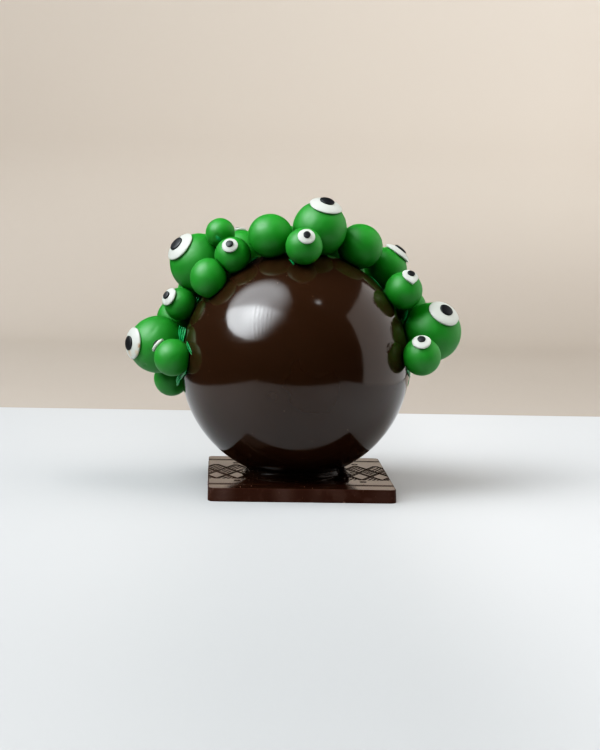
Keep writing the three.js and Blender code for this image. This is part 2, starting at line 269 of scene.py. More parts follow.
class PasteSettings(bpy.types.PropertyGroup):
    """The green balls and their eyes"""

    green: colour("Green", "Colour of the green paste", (0.0105, 0.176, 0.0125))
    white: colour("White", "Colour of the white paste", (0.432, 0.447, 0.398))
    black: colour("Black", "Colour of the black paste", (0.0058, 0.0060, 0.0068))
    roughness: share("Roughness", "Roughness of the green paste", 0.50)
    fine: length("Fine edge", "Longest edge of a green ball's facets", 1.0 * MM)
    lump: share("Lumps", "Height of the hand-rolled lumps as a share of the radius", 0.010)
    contact: length("Contact", "How softly a ball is flattened against the next", 0.12 * MM)
    sink: length("Sink", "How far an eye is pressed into its ball", 0.45 * MM)
    segments: count("Segments", "Facets round an eye", 72)
    uneven: share("Uneven", "How far the outline of an eye strays from a circle", 0.014)
    eye_share: share("Eye share", "Width of a white as a share of its solid's", 0.965)


class GlueSettings(bpy.types.PropertyGroup):
    """Glue, dust and crumbs"""

    glue: colour("Glue", "Colour of the wet green glue", (0.012, 0.190, 0.060))
    voxel: length("Glue grain", "Size of the smallest feature of the glue", 0.22 * MM)
    speck: length("Speck", "Size of a speck of dust on the ball", 0.28 * MM)
    specks: count("Specks", "How many specks lie on the ball besides those seen", 40)
    crumb: length("Crumb", "Size of a chocolate crumb", 0.8 * MM)
    crumbs: count("Crumbs", "How many crumbs lie along the tablet's left side", 16)


class StudioSettings(bpy.types.PropertyGroup):
    """Camera, lights, floor and wall"""

    distance: length("Distance", "Camera to the middle of the ball", 1062.997 * MM)
    rise: angle("Rise", "Height of the camera over the ball", 6.434)
    side: angle("Side", "Camera's place from the front towards the right", -3.027)
    roll: angle("Roll", "Turn of the camera round its line of sight", 1.364)
    pan: angle("Pan", "Turn of the camera from the ball's middle to the right", 0.179)
    tilt: angle("Tilt", "Turn of the camera from the ball's middle upwards", -0.4)
    focal: number("Focal length", "Focal length in pixels of the picture", 1619.093)
    key: number("Key light", "Light of the softbox at the upper left", 6.9)
    key_tint: colour("Key tint", "Colour of the softbox's light", (0.90, 0.96, 1.0))
    lamp: number("Lamp", "Light of the small lamp at the upper right", 7.5)
    panel: number("Panel", "Light of the white board on the right", 1.3)
    fill: number("Fill", "Light of the soft fill from the right, which no skin mirrors", 5.5)
    front: number("Front", "Light of the faint fill from the front, which no skin mirrors", 1.1)
    room: number("Room", "Light of the room as the polished skins mirror it", 0.025)
    haze: number("Haze", "Light of the room that falls on everything", 0.04)
    floor: colour("Floor", "Colour of the floor under the part", (0.375, 0.376, 0.375))
    # Painted light and shade on the floor: how much its colour is raised on the left and the right of the
    # part and lowered at the front.
    floor_left: number("Floor left", "How much lighter the floor is on the left", 1.08)
    floor_right: number("Floor right", "How much lighter the floor is on the right", 1.26)
    floor_front: number("Floor front", "How much darker the floor is at the front", 0.90)
    wall: colour("Wall", "Colour of the wall", (0.52, 0.447, 0.38))


GROUPS = {
    "chocolate_ball": BallSettings,
    "chocolate_tablet": TabletSettings,
    "paste_garland": PasteSettings,
    "small_bits": GlueSettings,
    "studio": StudioSettings,
}


# Reading the frame

def node_points(name):
    """The points of a packed node, each once."""
    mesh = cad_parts[name].data
    places = np.zeros(len(mesh.vertices) * 3)
    mesh.vertices.foreach_get("co", places)
    return np.unique(places.reshape(-1, 3).round(8), axis=0)


def unit(vector):
    return vector / np.linalg.norm(vector)


class Round:
    """A ball read from a packed node: its middle, its radius and its height over its width."""

    def __init__(self, node):
        points = node_points(node)
        around = points.mean(0)
        local = points - around
        draw = np.random.default_rng(len(local))
        best = np.zeros(len(local), bool)
        for _ in range(FIT_DRAWS):
            if self.fit(local[draw.choice(len(local), FIT_POINTS, replace=False)]):
                close = abs(self.height(local)) < FIT_CLOSE
                best = close if close.sum() > best.sum() else best
        if not self.fit(local[best]):
            raise ValueError(f"{node} has no round part")
        self.name = node
        self.middle = self.middle + around

    def fit(self, points):
        """Least squares for a(x2 + y2) + b z2 + d x + e y + f z = 1."""
        scaled = points / MM
        rows = np.column_stack([scaled[:, 0] ** 2 + scaled[:, 1] ** 2, scaled[:, 2] ** 2, scaled])
        a, b, d, e, f = np.linalg.lstsq(rows, np.ones(len(rows)), rcond=None)[0]
        if a <= 0 or b <= 0:
            return False
        size = 1 + (d * d + e * e) / (4 * a) + f * f / (4 * b)
        self.middle = -np.array([d / a, e / a, f / b]) / 2 * MM
        self.radius = math.sqrt(size / a) * MM
        self.tall = math.sqrt(a / b)
        return True

    def height(self, points):
        """How far points lie outside the ball."""
        away = (points - self.middle) / [1, 1, self.tall]
        return np.linalg.norm(away, axis=1) - self.radius

    def reach(self):
        return self.radius * max(1, self.tall)


def numbered(balls, number_name):
    """The green ball with a number."""
    return next(ball for ball in balls if ball.name.endswith(number_name))


def ball_direction(along, lean):
    """Direction from the big ball's middle: along from the top to the right, lean to the front."""
    along, lean = math.radians(along), math.radians(lean)
    return np.array([math.sin(along) * math.cos(lean), -math.sin(lean), math.cos(along) * math.cos(lean)])


def look_direction(turn, rise):
    """Direction by its turn from the front towards the right and its rise above level."""
    turn, rise = math.radians(turn), math.radians(rise)
    return np.array([math.sin(turn) * math.cos(rise), -math.cos(turn) * math.cos(rise), math.sin(rise)])


def side_axes(direction):
    """Two axes square to a direction: one level, one up the slope."""
    level = unit(np.cross([0, 0, 1], direction))
    return level, np.cross(direction, level)


# Making meshes

def make_piece(name, points, faces, material, slot, *nodes):
    """A smooth mesh that rides on the part and stands for the named nodes."""
    mesh = bpy.data.meshes.new(name)
    mesh.from_pydata(np.asarray(points).tolist(), [], [list(map(int, face)) for face in faces])
    mesh.polygons.foreach_set("use_smooth", [True] * len(mesh.polygons))
    mesh.materials.append(material)
    mesh.update()
    piece = bpy.data.objects.new(name, mesh)
    bpy.context.scene.collection.objects.link(piece)
    return dress(piece, slot, *nodes)


def dress(piece, slot, *nodes):
    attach(piece, BODY)
    if nodes:
        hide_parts(*nodes)
    return piece


def unit_ball(level):
    """Points and triangles of a ball of radius one."""
    shape = bmesh.new()
    bmesh.ops.create_icosphere(shape, subdivisions=level, radius=1.0)
    shape.verts.index_update()
    points = np.array([vert.co for vert in shape.verts])
    faces = np.array([[vert.index for vert in face.verts] for face in shape.faces])
    shape.free()
    return points / np.linalg.norm(points, axis=1)[:, None], faces


def ripple(points, wave, seed):
    """A soft random height from -1 to 1 at each point, with hills about a wave apart."""
    shift = Vector((17.3 * seed, 5.1 * seed, 9.7 * seed))
    return np.array([noise.noise(Vector(point) / wave + shift) for point in points])


def several(parts):
    """One list of points and faces from several meshes."""
    points, faces, start = [], [], 0
    for part_points, part_faces in parts:
        points.append(part_points)
        faces.append(np.asarray(part_faces) + start)
        start += len(part_points)
    return np.concatenate(points), np.concatenate(faces)


def melted(name, parts, voxel, smooth, material, slot, *nodes):
    """Blobs that have run together: one skin round all of them, smoothed."""
    points, faces = several(parts)
    piece = make_piece(name, points, faces, material, slot, *nodes)
    grow = piece.modifiers.new("one_skin", "REMESH")
    grow.mode = "VOXEL"
    grow.voxel_size = voxel
    grow.use_smooth_shade = True
    soft = piece.modifiers.new("smooth", "SMOOTH")
    soft.factor = 0.5
    soft.iterations = smooth
    bpy.context.view_layer.objects.active = piece
    for modifier in (grow, soft):
        with bpy.context.temp_override(object=piece, active_object=piece, selected_objects=[piece]):
            bpy.ops.object.modifier_apply(modifier=modifier.name)
    return piece


# Materials

def shade(name):
    """A new material and its node tree."""
    material = bpy.data.materials.new(name)
    material.use_nodes = True
    return material, material.node_tree


def feed(tree, socket, value):
    """Links an output to a socket, or sets the socket to a plain value."""
    if isinstance(value, bpy.types.NodeSocket):
        tree.links.new(value, socket)
    else:
        socket.default_value = value


def put(tree, kind, inputs=None, **fields):
    """A new node with its fields and its inputs, each one a plain value or an output."""
    made = tree.nodes.new(kind)
    for field, value in fields.items():
        setattr(made, field, value)
    for socket, value in (inputs or {}).items():
        feed(tree, made.inputs[socket], value)
    return made


def maths(tree, operation, *values):
    """The result of an operation on numbers, each one a plain number or an output."""
    return put(tree, "ShaderNodeMath", dict(enumerate(values)), operation=operation).outputs[0]


def axes_of(tree, where):
    """The X, Y and Z of a point."""
    return put(tree, "ShaderNodeSeparateXYZ", {"Vector": where}).outputs


def place(tree, stretch=(1, 1, 1), start=(0, 0, 0), turn=(0, 0, 0)):
    """The point in metres on the object, stretched, turned and shifted."""
    here = put(tree, "ShaderNodeTexCoord").outputs["Object"]
    inputs = {"Vector": here, "Location": start, "Rotation": turn, "Scale": stretch}
    return put(tree, "ShaderNodeMapping", inputs).outputs["Vector"]


def grain(tree, where, size, detail=3.0, roughness=0.5, distortion=0.0):
    """Random grain of a size in metres, from 0 to 1."""
    inputs = {"Vector": where, "Scale": 1 / size, "Detail": detail, "Roughness": roughness}
    return put(tree, "ShaderNodeTexNoise", {**inputs, "Distortion": distortion}).outputs[0]


def remap(tree, source, low, high, to_low, to_high, smooth=False):
    """Spreads the values from low to high of a source over a new range."""
    inputs = {"Value": source, "From Min": low, "From Max": high, "To Min": to_low, "To Max": to_high}
    steps = "SMOOTHSTEP" if smooth else "LINEAR"
    return put(tree, "ShaderNodeMapRange", inputs, interpolation_type=steps).outputs[0]


def blend_colours(tree, factor, first, second):
    """A colour between two, each one a plain colour or an output."""
    made = put(tree, "ShaderNodeMix", {0: factor}, data_type="RGBA")
    for socket, value in ((made.inputs[6], first), (made.inputs[7], second)):
        plain = not isinstance(value, bpy.types.NodeSocket)
        feed(tree, socket, (*value[:3], 1) if plain else value)
    return made.outputs[2]


def times(colour_value, factor):
    return tuple(min(1.0, channel * factor) for channel in colour_value)


def mottled(tree, factor, tint, darker, lighter):
    """A tint that varies over the surface, from darker to lighter."""
    return blend_colours(tree, factor, times(tint, darker), times(tint, lighter))


def relief(tree, layers):
    """A chain of bumps from (height, distance, strength) layers."""
    normal = None
    for height, distance, strength in layers:
        inputs = {"Height": height, "Distance": distance, "Strength": strength}
        if normal is not None:
            inputs["Normal"] = normal
        normal = put(tree, "ShaderNodeBump", inputs).outputs[0]
    return normal


def fade_out(tree, middle, reach):
    """One at a point of the object, falling to nothing at a distance from it."""
    size = 1 / reach
    around = place(tree, stretch=(size, size, size), start=tuple(-float(value) * size for value in middle))
    return put(tree, "ShaderNodeTexGradient", {"Vector": around}, gradient_type="SPHERICAL").outputs[1]


def finish(material, base, rough, layers=(), fixed=None):
    """Gives a material its colour, its roughness, its layers of relief and its fixed inputs."""
    tree = material.node_tree
    given = {"Base Color": base, "Roughness": rough, **(fixed or {})}
    if layers:
        given["Normal"] = relief(tree, layers)
    for name, value in given.items():
        feed(tree, tree.nodes["Principled BSDF"].inputs[name], value)
    return material


def polished_chocolate(settings):
    """Dark chocolate from a polished mould, with faint streaks and tiny pits."""
    material, tree = shade("polished_chocolate")
    where = place(tree)
    base = mottled(tree, grain(tree, where, 0.045, detail=2), settings.chocolate, 0.8, 1.2)
    haze = grain(tree, place(tree, stretch=(1, 1, 3)), 0.012, detail=5)
    rough = remap(tree, haze, 0.35, 0.7, settings.gloss - 0.03, settings.gloss + 0.04)
    pits = remap(tree, grain(tree, where, 0.0011, detail=2), 0.72, 0.8, 0, 1)
    layers = [(grain(tree, where, 0.009, detail=2), 0.00002, 0.4), (pits, 0.00003, 0.3)]
    return finish(material, base, rough, layers, {"IOR": 1.5})


def melted_chocolate(settings):
    """Chocolate that melted and set again: glossy and a little streaked; its darker colour is painted shade
    under the ball.
    """
    material, tree = shade("melted_chocolate")
    streak = grain(tree, place(tree, stretch=(1, 1, 4)), 0.004, detail=4, distortion=0.8)
    # Painted shade: the colour is set darker than the ball's chocolate, for the shade under the ball.
    base = mottled(tree, streak, settings.chocolate, 0.4, 0.9)
    rough = remap(tree, streak, 0.3, 0.7, 0.16, 0.3)
    layers = [(grain(tree, place(tree), 0.0016, detail=3), 0.00004, 0.35)]
    return finish(material, base, rough, layers, {"Specular IOR Level": 0.22})


def moulded_chocolate(settings):
    """The tablet's top: satin, with a fine grain from the mould."""
    material, tree = shade("moulded_chocolate")
    where = place(tree)
    base = mottled(tree, grain(tree, where, 0.02, detail=4), settings.chocolate, 0.75, 1.25)
    fine = grain(tree, place(tree, stretch=(1, 3, 1)), 0.002, detail=5)
    rough = remap(tree, fine, 0.3, 0.7, settings.gloss - 0.03, settings.gloss + 0.06)
    layers = [
        (grain(tree, where, 0.006, detail=3), 0.00005, 0.35),
        (grain(tree, where, 0.0009, detail=3), 0.00002, 0.25),
    ]
    return finish(material, base, rough, layers, {"Specular Tint": (1.0, 0.79, 0.66, 1)})


def scuffed_chocolate(settings):
    """The tablet's sides: dull, with pale scuffs, a few scratches and a faint bloom."""
    material, tree = shade("scuffed_chocolate")
    where = place(tree)
    cloud = grain(tree, where, 0.011, detail=3)
    scuff = grain(tree, place(tree, stretch=(0.6, 1, 1.6)), 0.0024, detail=6, roughness=0.7, distortion=1.0)
    scratch = grain(tree, place(tree, stretch=(1, 1, 0.25), turn=(0, 0.7, 0)), 0.0011, detail=2)
    base = mottled(tree, cloud, settings.side, 0.8, 1.2)
    patches = remap(tree, cloud, 0.52, 0.66, 0, 0.6, smooth=True)
    along = axes_of(tree, where)["X"]
    for x, half, strength in FRONT_BLOOM:
        away = maths(tree, "ABSOLUTE", maths(tree, "SUBTRACT", along, x))
        seen = remap(tree, away, 0, half, strength, 0, smooth=True)
        patches = maths(tree, "MAXIMUM", patches, seen)
    dust = maths(tree, "MULTIPLY", patches, remap(tree, scuff, 0.5, 0.68, 0.64, 1))
    bloom = blend_colours(tree, dust, base, settings.bloom)
    lines = remap(tree, scratch, 0.68, 0.74, 0, 0.35)
    scratched = blend_colours(tree, lines, bloom, (0.16, 0.10, 0.075))
    rough = remap(tree, scuff, 0.3, 0.7, 0.42, 0.6)
    layers = [(grain(tree, where, 0.005, detail=3), 0.0001, 0.4), (scuff, 0.00012, 0.35)]
    return finish(material, scratched, rough, layers, {"Specular IOR Level": 0.11})


def green_paste(settings):
    """Matt green modelling paste with a fine powdery skin and faint rolled creases."""
    material, tree = shade("green_paste")
    where = place(tree)
    powder = grain(tree, where, 0.00055, detail=4, roughness=0.6)
    crease = grain(tree, place(tree, stretch=(1, 1, 2.5)), 0.006, detail=3, distortion=1.5)
    base = mottled(tree, grain(tree, where, 0.016, detail=3), settings.green, 0.88, 1.12)
    rough = remap(tree, powder, 0.3, 0.7, settings.roughness - 0.05, settings.roughness + 0.09)
    layers = [(crease, 0.00012, 0.3), (powder, 0.00004, 0.35)]
    return finish(material, base, rough, layers, {"Specular IOR Level": 0.56})


def white_paste(settings, stains=()):
    """White paste with a soft chalky grain, and on one eye brown stains near its rim."""
    material, tree = shade("white_paste_stained" if stains else "white_paste")
    where = place(tree)
    powder = grain(tree, where, 0.0006, detail=3)
    base = mottled(tree, grain(tree, where, 0.007, detail=3), settings.white, 0.95, 1.04)
    for spot, width, tint in stains:
        patchy = maths(tree, "MULTIPLY", fade_out(tree, spot, width), grain(tree, where, 0.0014, detail=4))
        mask = remap(tree, patchy, 0.12, 0.42, 0, 0.85, smooth=True)
        base = blend_colours(tree, mask, base, tint)
    rough = remap(tree, powder, 0.3, 0.7, 0.38, 0.52)
    layers = [(grain(tree, where, 0.003, detail=2), 0.00008, 0.35), (powder, 0.00003, 0.3)]
    return finish(material, base, rough, layers, {
        "Subsurface Weight": 0.06, "Subsurface Radius": (1.0, 0.9, 0.8), "Subsurface Scale": 0.001,
    })


def black_paste(settings):
    """Black paste with a faint sheen and rolled streaks."""
    material, tree = shade("black_paste")
    streak = grain(tree, place(tree, stretch=(1, 4, 1)), 0.0025, detail=4, distortion=0.6)
    base = mottled(tree, streak, settings.black, 0.7, 1.6)
    return finish(material, base, remap(tree, streak, 0.3, 0.7, 0.42, 0.58), [(streak, 0.00008, 0.4)])


def wet_glue(settings):
    """Wet green glue with darker threads in it."""
    material, tree = shade("wet_glue")
    thread = grain(tree, place(tree, stretch=(2, 1, 1)), 0.0012, detail=3, distortion=1)
    base = mottled(tree, thread, settings.glue, 0.6, 2.0)
    rough = remap(tree, thread, 0.3, 0.7, 0.14, 0.3)
    return finish(material, base, rough, [(thread, 0.00012, 0.4)], {"Specular IOR Level": 0.35})


def dusty(name, tint, roughness):
    """Dust, crumbs and other small loose bits of one tint."""
    material, tree = shade(name)
    mottle = grain(tree, place(tree), 0.0006, detail=3)
    rough = remap(tree, mottle, 0.3, 0.7, roughness - 0.1, roughness + 0.1)
    return finish(material, mottled(tree, mottle, tint, 0.7, 1.3), rough, [(mottle, 0.00006, 0.5)])


# The pieces

def slab_points(settings, low, high):
    """Places of the tablet's top: a grid whose rows are drawn in round the corners."""
    half = (high - low) / 2
    middle = (high + low) / 2
    columns = int(round(2 * half[0] / settings.step)) + 1
    rows = int(round(2 * half[1] / settings.step)) + 1
    across, along = np.meshgrid(np.linspace(-1, 1, columns), np.linspace(-1, 1, rows))
    y = along * half[1]
    beyond = np.clip(abs(y) - (half[1] - settings.corner), 0, settings.corner)
    drawn_in = settings.corner - np.sqrt(settings.corner ** 2 - beyond ** 2)
    x = across * (half[0] - drawn_in)
    return x + middle[0], y + middle[1], rows, columns


def stripe(position, pitch):
    """Distance to the nearest of the lines that are a pitch apart."""
    return abs((position + pitch / 2) % pitch - pitch / 2)


def tablet_grooves(settings, x, y):
    """Depth of the pattern: double rails, a lattice of double lines and strokes in some diamonds."""
    half = (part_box("tablet")[1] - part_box("tablet")[0]) / 2
    pair = settings.rail_gap / 2
    nearest = np.full_like(x, half.x)
    rail = half.y - settings.rail - pair
    for side in (-1, 1):
        for line in (-pair, pair):
            nearest = np.minimum(nearest, abs(y - side * rail - line))
    slope, pitch = settings.lattice_angle, settings.lattice_pitch
    leaning = [x * math.sin(slope) - lean * y * math.cos(slope) for lean in (-1, 1)]
    lattice = np.minimum(*(abs(stripe(across, pitch) - pair / 2) for across in leaning))
    clear = np.minimum(*(stripe(across, pitch) for across in leaning)) > settings.rail_gap * 0.8
    kind = (np.floor(leaning[0] / pitch) + 2 * np.floor(leaning[1] / pitch)) % 3
    for this, across in enumerate(leaning):
        strokes = np.where(clear & (kind == this), stripe(across, settings.hatch), pitch)
        lattice = np.minimum(lattice, strokes)
    inside = abs(y) < settings.lattice_band / 2
    nearest = np.where(inside, np.minimum(nearest, lattice), nearest)
    for side in (-1, 1):
        for row in (-1, 1):
            ring = np.hypot(x - side * half.x * 0.68, y - row * settings.lattice_band * 0.62)
            nearest = np.minimum(nearest, abs(ring - 1.6 * MM))
    return settings.groove_depth * np.exp(-((nearest / settings.groove) ** 2))


def make_tablet(settings):
    low, high = (np.array(corner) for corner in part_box("tablet"))
    inset = 2 * settings.edge
    x, y, rows, columns = slab_points(settings, low[:2] + inset, high[:2] - inset)
    flat = np.column_stack([x.ravel(), y.ravel(), np.zeros(x.size)])
    wave = 0.05 * MM * ripple(flat, 24 * MM, 3) + 0.006 * MM * ripple(flat, 3.5 * MM, 4)
    top = flat.copy()
    top[:, 2] = high[2] + wave - tablet_grooves(settings, x.ravel(), y.ravel())
    points = [top]
    number_of = np.arange(rows * columns).reshape(rows, columns)
    corners = (number_of[:-1, :-1], number_of[:-1, 1:], number_of[1:, 1:], number_of[1:, :-1])
    faces = [np.column_stack([corner.ravel() for corner in corners])]
    border = np.concatenate([
        number_of[0, :-1], number_of[:-1, -1], number_of[-1, :0:-1], number_of[:0:-1, 0],
    ])
    rim = top[border]
    before, after = np.roll(rim, 1, 0), np.roll(rim, -1, 0)
    ahead = after - before
    out = np.column_stack([ahead[:, 1], -ahead[:, 0], np.zeros(len(rim))])
    out /= np.linalg.norm(out, axis=1)[:, None]
    thick = high[2] - low[2]
    snapped = np.clip(-out[:, 0], 0, 1) ** 2
    previous = border
    rings = slab_rings(settings, thick)
    start = len(top)
    for outward, height in rings:
        level = rim.copy()
        share_down = min(1, max(0, -height / settings.edge))
        level[:, 2] = rim[:, 2] * (1 - share_down) + high[2] * share_down + height
        level += out * outward
        rough = ripple(level, 1.3 * MM, 5) + 0.6 * ripple(level, 0.5 * MM, 6)
        chips = np.clip(ripple(level, 2.2 * MM, 7) - 0.45, 0, 1)
        level -= out * (snapped * settings.snap * np.clip(0.35 + rough, 0, 1) * share_down)[:, None]
        level -= out * ((1 - snapped) * (0.05 * MM * rough + 0.6 * MM * chips) * share_down)[:, None]
        level[:, 2] = np.clip(level[:, 2], low[2], high[2])
        points.append(level)
        current = np.arange(start, start + len(border))
        start += len(border)
        faces.append(np.column_stack([np.roll(previous, -1), previous, current, np.roll(current, -1)]))
        previous = current
    middle = (points[-1].mean(0) * [1, 1, 0]) + [0, 0, low[2]]
    points.append(middle[None])
    centre = np.full(len(border), start)
    triangles = np.column_stack([np.roll(previous, -1), previous, centre])
    quads = np.concatenate(faces).tolist() + triangles.tolist()
    points = np.concatenate(points)
    material = moulded_chocolate(settings)
    piece = make_piece("moulded_tablet", points, quads, material, "chocolate_tablet", "tablet")
    piece.data.materials.append(scuffed_chocolate(settings))
    on_side = np.arange(len(quads)) >= len(faces[0])
    piece.data.polygons.foreach_set("material_index", on_side.astype(np.int32))
    return piece


def slab_rings(settings, thick):
    """The tablet's side, from the edge of its top down to its underside: (outward, height)."""
    edge = settings.edge
    steps, draft, tuck = 14, 0.9, 0.6
    turns = [math.radians(angle_down) for angle_down in (22, 45, 67, 90)]
    over = [(edge * math.sin(turn), -edge * (1 - math.cos(turn))) for turn in turns]
    wall = []
    for step in range(1, steps):
        down = edge + (thick - 2 * edge) * step / steps
        wall.append((edge * (1 + draft * step / steps), -down))
    under = [
        (edge * (1 + draft) - edge * (1 - math.cos(turn)) * tuck, -(thick - edge) - edge * math.sin(turn))
        for turn in turns
    ]
    return over + wall + under


def make_ball(settings, ball):
    """The big ball: a fine skin with slow waves, melted flat where it stands."""
    points, faces = unit_ball(settings.detail)
    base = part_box("ball")[0].z
    height = settings.wave * (ripple(points * ball.radius, settings.wave_length, 11)
                              + 0.3 * ripple(points * ball.radius, settings.wave_length / 3, 12))
    skin = ball.middle + points * (ball.radius - 0.05 * MM + height)[:, None]
    skin[:, 2] = np.maximum(skin[:, 2], base)
    return make_piece("polished_ball", skin, faces, polished_chocolate(settings), "chocolate_gloss", "ball")


def foot_outline(settings, ball, turns):
    """How far the foot reaches from the ball's axis in each direction."""
    solid = node_points("melted_foot") - [ball.middle[0], ball.middle[1], 0]
    around = np.arctan2(solid[:, 1], solid[:, 0])
    away = np.hypot(solid[:, 0], solid[:, 1])
    apart = abs((around[None] - turns[:, None] + math.pi) % (2 * math.pi) - math.pi)
    reach = np.where(apart < math.radians(9), away, 0).max(1)
    soft = np.exp(-np.linspace(-2, 2, 13) ** 2)
    reach = np.convolve(np.concatenate([reach[-6:], reach, reach[:6]]), soft / soft.sum(), "valid")
    circle = np.column_stack([np.cos(turns), np.sin(turns), turns * 0])
    front = settings.foot_front * np.exp(-(((turns + math.pi / 2) / math.radians(48)) ** 2))
    return reach + front + 0.4 * MM * ripple(circle, 0.35, 21)


def ball_skin(ball, distance):
    """Height of the ball's skin at a distance from its axis."""
    return ball.middle[2] - np.sqrt(ball.radius ** 2 - distance ** 2)


def make_foot(settings, ball):
    """The melted foot: a hollowed ring from the ball down to the tablet, with ridges and beads."""
    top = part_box("tablet")[1].z
    turns = np.linspace(-math.pi, math.pi, 180, endpoint=False)
    edge = foot_outline(settings, ball, turns)
    held = np.minimum(edge, edge.min() + 1.5 * MM) - 2.2 * MM
    upper = np.array([held, ball_skin(ball, held)])
    slope = held / ball.radius
    drawn_in = settings.foot_neck * np.array([-np.sqrt(1 - slope ** 2), -slope])
    lower = np.array([edge, np.full_like(edge, top + 0.3 * MM)])
    corners = [upper, upper + drawn_in, lower - [[1.3 * settings.foot_neck], [0]], lower]
    profile = [np.array([held, upper[1] + 1.0 * MM])]
    for share_down in np.linspace(0, 1, 22):
        weights = [math.comb(3, k) * share_down ** k * (1 - share_down) ** (3 - k) for k in range(4)]
        profile.append(sum(weight * corner for weight, corner in zip(weights, corners)))
    profile.append(np.array([edge + 0.2 * MM, np.full_like(edge, top - 0.1 * MM)]))
    inner = np.full_like(edge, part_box("melted_foot")[1].x * 0.6)
    profile.append(np.array([inner, np.full_like(edge, top - 0.1 * MM)]))
    profile.append(np.array([inner, ball_skin(ball, inner) + 1.0 * MM]))
    centre = np.array([ball.middle[0], ball.middle[1], 0])
    rows = [
        np.column_stack([distance * np.cos(turns), distance * np.sin(turns), height]) + centre
        for distance, height in profile
    ]
    around = np.arange(len(turns))
    faces = []
    for row in range(len(rows)):
        a = row * len(turns) + around
        b = (row + 1) % len(rows) * len(turns) + around
        faces.append(np.column_stack([a, b, np.roll(b, -1)]))
        faces.append(np.column_stack([a, np.roll(b, -1), np.roll(a, -1)]))
    blobs = [(np.concatenate(rows), np.concatenate(faces))]
    for x, y, width, deep, tall, up in FOOT_BEADS:
        blobs.append(drop_at((x, y, top + up), (width, deep, tall)))
    for first, last, distance, up, thick in FOOT_RIDGES + TOP_SMEARS:
        blobs += ridge(centre, first, last, distance, top + up, thick)
    surface = melted_chocolate(settings)
    return melted("melted_puddle", blobs, settings.foot_voxel, 4, surface, "chocolate_gloss", "melted_foot")


def drop_at(middle, half_sizes, level=3):
    """A drop of melted stuff: a ball stretched to its half sizes."""
    points, faces = unit_ball(level)
    return points * half_sizes + middle, faces


def ridge(centre, first, last, distance, height, thick):
    """A run of drops along an arc round the ball's axis, thinner towards both ends."""
    steps = int(math.radians(last - first) * distance / (0.35 * thick))
    drops = []
    for step in range(steps + 1):
        share_along = step / steps
        turn = math.radians(first + (last - first) * share_along)
        size = thick / 2 * math.sin(math.pi * (0.12 + 0.76 * share_along)) ** 0.6
        middle = centre + [distance * math.cos(turn), distance * math.sin(turn), height]
        drops.append(drop_at(middle, size, 2))
    return drops


def mark_depth(ball, directions):
    """Depth of the dents and creases of a green ball in each direction from its middle."""
    depth = np.zeros(len(directions))
    for name, turn, rise, long, wide, deep, angled in DENTS:
        if ball.name.endswith(name):
            middle = look_direction(turn, rise)
            level, up = side_axes(middle)
            slant = math.radians(angled)
            main = level * math.cos(slant) + up * math.sin(slant)
            square = up * math.cos(slant) - level * math.sin(slant)
            here = directions * ball.radius
            spread = (here @ main / long) ** 2 + (here @ square / wide) ** 2
            depth += np.where(directions @ middle > 0, deep * np.exp(-2 * spread), 0)
    return depth


def make_bubble(settings, bubble, others, big, material, seed):
    """A green ball: a little lumpy, flat against its neighbours, hollow against the big ball."""
    level = 5
    while bubble.radius * 1.11 / 2 ** (level - 1) > settings.fine:
        level += 1
    points, faces = unit_ball(level)
    own = points * bubble.radius
    rolled = ripple(own, 0.9 * bubble.radius, seed) + 0.25 * ripple(own, 0.3 * bubble.radius, seed + 50)
    lump = settings.lump * bubble.radius * rolled
    skin = own * [1, 1, bubble.tall] + points * (lump - mark_depth(bubble, points))[:, None]
    for other in others:
        away = other.middle - bubble.middle
        apart = np.linalg.norm(away)
        if other is not bubble and apart < bubble.reach() + other.reach() + 0.5 * MM:
            flat = (apart ** 2 + bubble.reach() ** 2 - other.reach() ** 2) / (2 * apart) - 0.04 * MM
            over = skin @ (away / apart) - flat
            skin -= soft_clip(over, settings.contact)[:, None] * (away / apart)
    if bubble.name[-2:] in FLAT_BACKS:
        inwards = unit(big.middle - bubble.middle)
        over = skin @ inwards - FLAT_BACKS[bubble.name[-2:]]
        skin -= soft_clip(over, 4 * settings.contact)[:, None] * inwards
    skin += bubble.middle
    from_big = skin - big.middle
    distance = np.linalg.norm(from_big, axis=1)
    short = soft_clip(big.radius + 0.05 * MM - distance, settings.contact)
    skin += from_big / distance[:, None] * short[:, None]
    name = bubble.name.replace("bubble", "paste_ball")
    return make_piece(name, skin, faces, material, "green_paste", bubble.name)


def soft_clip(over, soft):
    """Nothing below zero and all of it well above, with a rounded start."""
    return np.logaddexp(0, over / soft) * soft


